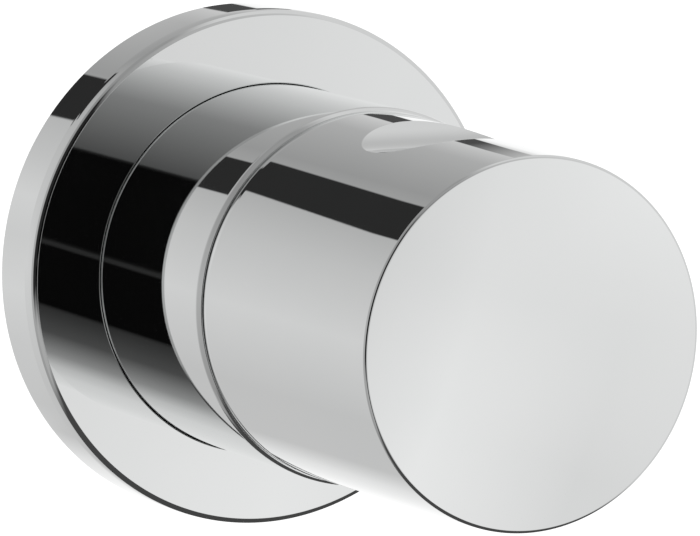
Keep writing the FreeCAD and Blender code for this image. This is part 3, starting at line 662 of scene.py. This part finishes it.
def side_lean(station):
    """Normal of the knob's side, as radius and station."""
    slope = (KNOB_BACK_RADIUS - KNOB_RADIUS) / (KNOB_RIM - KNOB_SHOULDER)
    slope -= into_ease(station) / KNOB_BACK_BEND
    length = math.hypot(1.0, slope)
    return 1.0 / length, slope / length


def on_side(degrees, station):
    return around((knob_side(station), station), side_lean(station), degrees)


def in_window(window, degrees, station):
    return window[0] <= degrees <= window[1] and window[2] <= station <= window[3]


def knob_grid():
    """Angles and stations of the knob's grid, finer across the two windows."""
    angles = set(even_angles())
    for low, high in (HOLLOW_WINDOW[:2], GRUB_WINDOW[:2]):
        angles.update(low + i * GRID_ANGLE / 2 for i in range(round(2 * (high - low) / GRID_ANGLE)))
    for key in range(4):
        for edge in (-KEYWAY_HALF_ANGLE, KEYWAY_HALF_ANGLE):
            flank = FIRST_KEYWAY + KEYWAY_STEP * key + edge
            angles.update((flank, flank + KEYWAY_FLANK))
    low, high = HOLLOW_WINDOW[2:]
    stations = [low + i * GRID_STATION for i in range(round((high - low) / GRID_STATION) + 1)]
    row = (KNOB_BACK_EASE - KNOB_BACK_EDGE) / KNOB_EASE_ROWS
    eased = [KNOB_SHOULDER + KNOB_BACK_EDGE + i * row for i in range(KNOB_EASE_ROWS + 1)]
    return sorted(angles), eased + stations + [KNOB_RIM - KNOB_FRONT_ROW]


def window_rim(window, angles, stations):
    """Grid points round a window's edge, in order."""
    across = [a for a in angles if window[0] <= a <= window[1]]
    along = [s for s in stations if window[2] <= s <= window[3]]
    rim = [(a, along[0]) for a in across[:-1]]
    rim += [(across[-1], s) for s in along[:-1]]
    rim += [(a, along[-1]) for a in reversed(across[1:])]
    rim += [(across[0], s) for s in reversed(along[1:])]
    return rim


def between(first, last, share):
    """Place of the grid part of the way from one to another."""
    return first[0] + share * (last[0] - first[0]), first[1] + share * (last[1] - first[1])


def border_share(centre, rim, depth):
    """How far from the centre to a rim point the border lies, where the depth passes nought."""
    low, high = 0.0, 1.0
    for _ in range(40):
        share = (low + high) / 2
        if depth(*between(centre, rim, share)) > 0:
            low = share
        else:
            high = share
    return low


def join_rings(shell, spokes):
    """Faces between neighbouring spokes, each a list of points and normals from the middle out."""
    for near, far in zip(spokes, spokes[1:] + spokes[:1]):
        for i in range(len(near) - 1):
            shell.face(near[i], near[i + 1], far[i + 1], far[i])


def hollow_sizes():
    """Radius of the scooped trough, and the height of its axis."""
    radius = (HOLLOW_LENGTH ** 2 / 4 + HOLLOW_DEPTH ** 2) / (2 * HOLLOW_DEPTH)
    return radius, knob_side(HOLLOW_STATION) - HOLLOW_DEPTH + radius


def trough_height(station):
    radius, height = hollow_sizes()
    return height - math.sqrt(radius ** 2 - (station - HOLLOW_STATION) ** 2)


def in_trough(degrees, station):
    """Point and normal on the trough, above a place of the grid."""
    radius, height = hollow_sizes()
    z = trough_height(station)
    point = (z / math.tan(math.radians(degrees)), -station, z)
    return point, (0.0, (station - HOLLOW_STATION) / radius, (height - z) / radius)


def add_hollow(shell, angles, stations):
    """The thumb hollow: rings that follow its border, close together where the edge is rounded."""
    centre = (90.0, HOLLOW_STATION)

    def depth(degrees, station):
        return knob_side(station) * math.sin(math.radians(degrees)) - trough_height(station)

    spokes = []
    for rim in window_rim(HOLLOW_WINDOW, angles, stations):
        share = border_share(centre, rim, depth)
        wide = math.radians(rim[0] - centre[0]) * KNOB_BACK_RADIUS
        away = math.hypot(wide, rim[1] - centre[1])
        half = HOLLOW_EDGE * math.tan(math.radians(HOLLOW_SLOPE)) / away
        shares = [(share - half) * i / HOLLOW_RINGS for i in range(HOLLOW_RINGS)]
        near_edge = range(-HOLLOW_EDGE_RINGS, HOLLOW_EDGE_RINGS + 1)
        shares += [share + half * i / HOLLOW_EDGE_RINGS for i in near_edge]
        outside_share = (1 - share - half) / HOLLOW_OUTER_RINGS
        shares += [share + half + outside_share * i for i in range(1, HOLLOW_OUTER_RINGS)]
        spoke = []
        for value in shares:
            place = between(centre, rim, value)
            trough, scooped = in_trough(*place)
            outside, lean = on_side(*place)
            part = min(max((value - share + half) / (2 * half), 0.0), 1.0)
            point = trough if value < share else outside
            spoke.append((point, tuple(Vector(scooped).lerp(Vector(lean), part).normalized())))
        spoke.append(on_side(*rim))
        spokes.append(spoke)
    join_rings(shell, spokes)


def add_grub_hole(shell, angles, stations):
    """The hole under the knob for the grub screw, closed where the hub's bore begins."""
    centre = (270.0, GRUB_STATION)

    def depth(degrees, station):
        across = knob_side(station) * math.cos(math.radians(degrees))
        return GRUB_HOLE + SOFT_EDGE - math.hypot(across, station - GRUB_STATION)

    spokes = []
    for rim in window_rim(GRUB_WINDOW, angles, stations):
        share = border_share(centre, rim, depth)
        place = between(centre, rim, share)
        lip, lean = on_side(*place)
        outward = Vector((lip[0], lip[1] + GRUB_STATION, 0)).normalized()
        spoke = [((0, -GRUB_STATION, -HUB_BORE), (0, 0, -1))]
        foot = Vector((0, -GRUB_STATION, -HUB_BORE)) + outward * GRUB_HOLE
        spoke.append((tuple(foot), tuple(-outward)))
        for step in range(GRUB_EDGE_STEPS, -1, -1):
            angle = math.radians(90 * step / GRUB_EDGE_STEPS)
            point = Vector(lip) - outward * SOFT_EDGE * math.sin(angle)
            point.z += SOFT_EDGE * (1 - math.cos(angle))
            normal = Vector(lean) * math.cos(angle) - outward * math.sin(angle)
            spoke.append((tuple(point), tuple(normal.normalized())))
        for step in GRUB_OUTER_SHARES:
            spoke.append(on_side(*between(place, rim, step)))
        spoke.append(on_side(*rim))
        spokes.append(spoke)
    join_rings(shell, spokes)


def add_boss(shell):
    """Boss between the hub and the knob's wall, round the grub screw."""
    top = -(HUB_BORE + BOSS_TOP_OVERLAP)
    bottom = -(KNOB_RADIUS - BOSS_FOOT_OVERLAP)
    rings = []
    for i in range(BOSS_SIDES):
        lean = Vector((math.cos(i * math.tau / BOSS_SIDES), math.sin(i * math.tau / BOSS_SIDES), 0))
        rings.append((lean * GRUB_BOSS + Vector((0, -GRUB_STATION, 0)), lean))
    for (near, lean), (far, other) in zip(rings, rings[1:] + rings[:1]):
        up, down = Vector((0, 0, top)), Vector((0, 0, bottom))
        shell.face((near + up, lean), (far + up, other), (far + down, other), (near + down, lean))
        for end, normal in ((up, (0, 0, 1)), (down, (0, 0, -1))):
            middle = Vector((0, -GRUB_STATION, 0)) + end
            shell.face((middle, normal), (near + end, normal), (far + end, normal))


def bore_reach(radius, degrees):
    """The hub's bore, deeper at its four keyways."""
    from_key = abs((degrees - FIRST_KEYWAY) % KEYWAY_STEP)
    from_key = min(from_key, KEYWAY_STEP - from_key)
    if abs(radius - HUB_BORE) < 0.01 and from_key < KEYWAY_HALF_ANGLE + 0.01:
        return KEYWAY_RADIUS
    return radius


def spin_keyed(shell, runs, angles):
    """The same, with the hub's keyways cut in its bore."""
    for first, lean, last, other in runs:
        for a, b in zip(angles, angles[1:] + angles[:1]):
            corners = []
            ends = ((first, lean, a), (first, lean, b), (last, other, b), (last, other, a))
            for point, normal, angle in ends:
                corners.append(around((bore_reach(point[0], angle), point[1]), normal, angle))
            shell.face(*corners)


def crown_runs(start):
    """The knob's slightly domed front, from a radius in to the axis."""
    ball = (KNOB_RADIUS ** 2 + KNOB_CROWN ** 2) / (2 * KNOB_CROWN)
    centre = KNOB_RIM + KNOB_CROWN - ball
    points = []
    for i in range(CROWN_RINGS + 1):
        radius = start * (1 - i / CROWN_RINGS)
        lean = (radius / ball, math.sqrt(1 - (radius / ball) ** 2))
        points.append(((radius, centre + ball * lean[1]), lean))
    return [(p, n, q, m) for (p, n), (q, m) in zip(points, points[1:])]


def make_knob():
    """Hollow casting: side with the thumb hollow and grub hole, front, neck, cavity and hub."""
    angles, stations = knob_grid()
    shell = Shell()
    for a, b in zip(angles, angles[1:] + [360.0]):
        for low, high in zip(stations, stations[1:]):
            middle = ((a + b) / 2, (low + high) / 2)
            if in_window(HOLLOW_WINDOW, *middle) or in_window(GRUB_WINDOW, *middle):
                continue
            shell.face(on_side(a, low), on_side(b, low), on_side(b, high), on_side(a, high))
    add_hollow(shell, angles, stations)
    add_grub_hole(shell, angles, stations)
    add_boss(shell)
    inside = runs_of([
        (0, HUB_BORE_FRONT, 0), (HUB_BORE, HUB_BORE_FRONT, 0), (HUB_BORE, HUB_BACK, 0),
        (HUB_RADIUS, HUB_BACK, HUB_EDGE), (HUB_RADIUS, KNOB_CAVITY_FRONT, CAVITY_BEND),
        (KNOB_CAVITY_RADIUS, KNOB_CAVITY_FRONT, CAVITY_BEND),
        (KNOB_CAVITY_RADIUS, KNOB_BACK, NECK_EDGE), (KNOB_NECK_RADIUS, KNOB_BACK, NECK_EDGE),
        (KNOB_NECK_RADIUS, KNOB_SHOULDER, CRISP_EDGE),
        (knob_side(KNOB_SHOULDER + SHARP_EDGE), KNOB_SHOULDER, SHARP_EDGE),
        (knob_side(stations[0]), stations[0], 0),
    ], closed=False)
    spin_keyed(shell, inside, angles)
    crown = crown_runs(KNOB_RADIUS - KNOB_EDGE)
    rim = runs_of([
        (knob_side(stations[-1]), stations[-1], 0),
        (KNOB_RADIUS, KNOB_RIM, KNOB_EDGE - KNOB_EDGE_SLACK), (*crown[0][0], 0),
    ], closed=False)
    spin(shell, rim + crown, angles)
    return shell.make("knob_casting", "knob_group", "knob")


def thread_radius(row, station):
    """Radius of the thread's rounded profile, cut back at its two ends."""
    wave = math.asin(THREAD_ROUNDNESS * math.cos(math.tau * row / THREAD_ROWS))
    wave /= math.asin(THREAD_ROUNDNESS)
    radius = THREAD_RADIUS - THREAD_DEPTH * (1 - wave) / 2
    from_end = min(station - THREAD_BACK, THREAD_FRONT - station)
    if from_end <= 0:
        return THREAD_RADIUS - THREAD_DEPTH
    return min(radius, THREAD_RADIUS - THREAD_END_CUT + from_end)


def thread_faces(work):
    """A closed threaded sleeve, added to a bmesh in metres."""
    step = THREAD_PITCH / THREAD_ROWS
    rows = math.ceil((THREAD_FRONT - THREAD_BACK) / step) + THREAD_ROWS + 1
    grid = []
    for column in range(THREAD_COLUMNS + 1):
        turn = column / THREAD_COLUMNS
        line = [(THREAD_CORE, THREAD_BACK)]
        for row in range(rows):
            station = THREAD_BACK + (row - THREAD_ROWS + THREAD_ROWS * turn) * step
            station = min(max(station, THREAD_BACK), THREAD_FRONT)
            line.append((thread_radius(row, station), station))
        line.append((THREAD_CORE, THREAD_FRONT))
        cos = math.cos(math.tau * turn) * MM
        sin = math.sin(math.tau * turn) * MM
        grid.append([
            work.verts.new((radius * cos, -station * MM, radius * sin)) for radius, station in line
        ])
    for near, far in zip(grid, grid[1:]):
        for i in range(len(near) - 1):
            work.faces.new((near[i], near[i + 1], far[i + 1], far[i]))
        work.faces.new((near[-1], near[0], far[0], far[-1]))


def make_housing():
    """The headwork's housing, with its plain thread zone replaced by a cut thread."""
    work = bmesh.new()
    work.from_mesh(NODES["headwork_housing"].data)
    gone = []
    back, front = THREAD_BACK - ZONE_MARGIN, THREAD_FRONT + ZONE_MARGIN
    for face in work.faces:
        places = [(math.hypot(v.co.x, v.co.z) / MM, -v.co.y / MM) for v in face.verts]
        if all(radius > THREAD_CORE and back < station < front for radius, station in places):
            gone.append(face)
    bmesh.ops.delete(work, geom=gone, context="FACES")
    bmesh.ops.remove_doubles(work, verts=work.verts, dist=MERGE_DISTANCE)
    bmesh.ops.bridge_loops(work, edges=[edge for edge in work.edges if edge.is_boundary])
    thread_faces(work)
    bmesh.ops.remove_doubles(work, verts=work.verts, dist=MERGE_DISTANCE)
    bmesh.ops.recalc_face_normals(work, faces=work.faces)
    mesh = bpy.data.meshes.new("housing_body")
    work.to_mesh(mesh)
    work.free()
    mesh.polygons.foreach_set("use_smooth", [True] * len(mesh.polygons))
    mesh.set_sharp_from_angle(angle=math.radians(SHARP_ANGLE))
    return place_piece(mesh, "housing_body", "base", "headwork_housing")


def assign(made, *pieces):
    for piece in pieces:
        mesh = (NODES[piece] if isinstance(piece, str) else piece).data
        mesh.materials.clear()
        mesh.materials.append(made)


def make_floor():
    """Pale floor that glows a little for the camera and keeps the valve's shadow."""
    mesh = bpy.data.meshes.new("floor")
    half = FLOOR_SIZE / 2.0
    corners = [(-half, -half, 0), (half, -half, 0), (half, half, 0), (-half, half, 0)]
    mesh.from_pydata(corners, [], [(0, 1, 2, 3)])
    floor = bpy.data.objects.new("floor", mesh)
    floor.location = (0, 0, FLOOR_HEIGHT)
    bpy.context.scene.collection.objects.link(floor)
    made = bpy.data.materials.new("pale_floor")
    made.use_nodes = True
    tree = made.node_tree
    tree.nodes.clear()
    g = Graph(tree)
    matt = g.node("ShaderNodeBsdfDiffuse")
    matt.inputs["Color"].default_value = (FLOOR_COLOUR, FLOOR_COLOUR, FLOOR_COLOUR, 1)
    glow = g.node("ShaderNodeEmission")
    rays = g.node("ShaderNodeLightPath").outputs
    seen = g.maths("MAXIMUM", rays["Is Camera Ray"], rays["Is Transmission Ray"])
    g.feed(glow.inputs["Strength"], g.maths("MULTIPLY", seen, FLOOR_GLOW))
    both = g.node("ShaderNodeAddShader")
    g.links.new(matt.outputs[0], both.inputs[0])
    g.links.new(glow.outputs[0], both.inputs[1])
    g.links.new(both.outputs[0], g.node("ShaderNodeOutputMaterial").inputs["Surface"])
    mesh.materials.append(made)
    floor.visible_glossy = False


def dress():
    """Make the finer pieces and give each piece and each other node its material."""
    assign(chrome(), make_escutcheon(), make_collar(), make_knob())
    assign(brass(), make_housing(), "spindle", "spindle_extension")
    moulded = plastic("moulded_plastic", MOULDED_COLOURS, rough=0.42, grain=2200.0)
    assign(moulded, "escutcheon_insert", "carrier_ring", "spline_adapter")
    smooth = plastic("bearing_plastic", BEARING_COLOURS, rough=0.26, grain=3200.0)
    assign(smooth, "glide_ring", "slide_washer")
    assign(rubber(), "escutcheon_o_ring", "collar_o_ring", "housing_o_ring", "seat_seal",
           "spindle_o_ring_lower", "spindle_o_ring_upper")
    assign(foam(), "wall_seal")
    assign(ceramic(), "fixed_ceramic_disc", "turning_ceramic_disc")
    assign(steel("spring_steel", SPRING_COLOURS, rough=0.30), "spindle_circlip")
    assign(steel("screw_steel", SCREW_COLOURS, rough=0.24), "extension_screw", "grub_screw")


def make_camera():
    data = bpy.data.cameras.new("camera")
    camera = bpy.data.objects.new("camera", data)
    bpy.context.scene.collection.objects.link(camera)
    back = (CAMERA_PLACE - CAMERA_TARGET).normalized()
    right = Vector((-back.y, back.x, 0)).normalized()
    up = back.cross(right)
    level = Matrix((right, up, back)).transposed()
    roll = Matrix.Rotation(CAMERA_ROLL, 3, "Z")
    camera.matrix_world = Matrix.Translation(CAMERA_PLACE) @ (level @ roll).to_4x4()
    data.sensor_width = SENSOR_WIDTH
    data.lens = FOCAL_PIXELS / PHOTO_WIDTH * SENSOR_WIDTH
    data.clip_start = 0.01
    data.clip_end = 50.0
    bpy.context.scene.camera = camera


make_studio()
make_floor()
dress()
make_camera()
bpy.context.scene.view_settings.view_transform = "Standard"
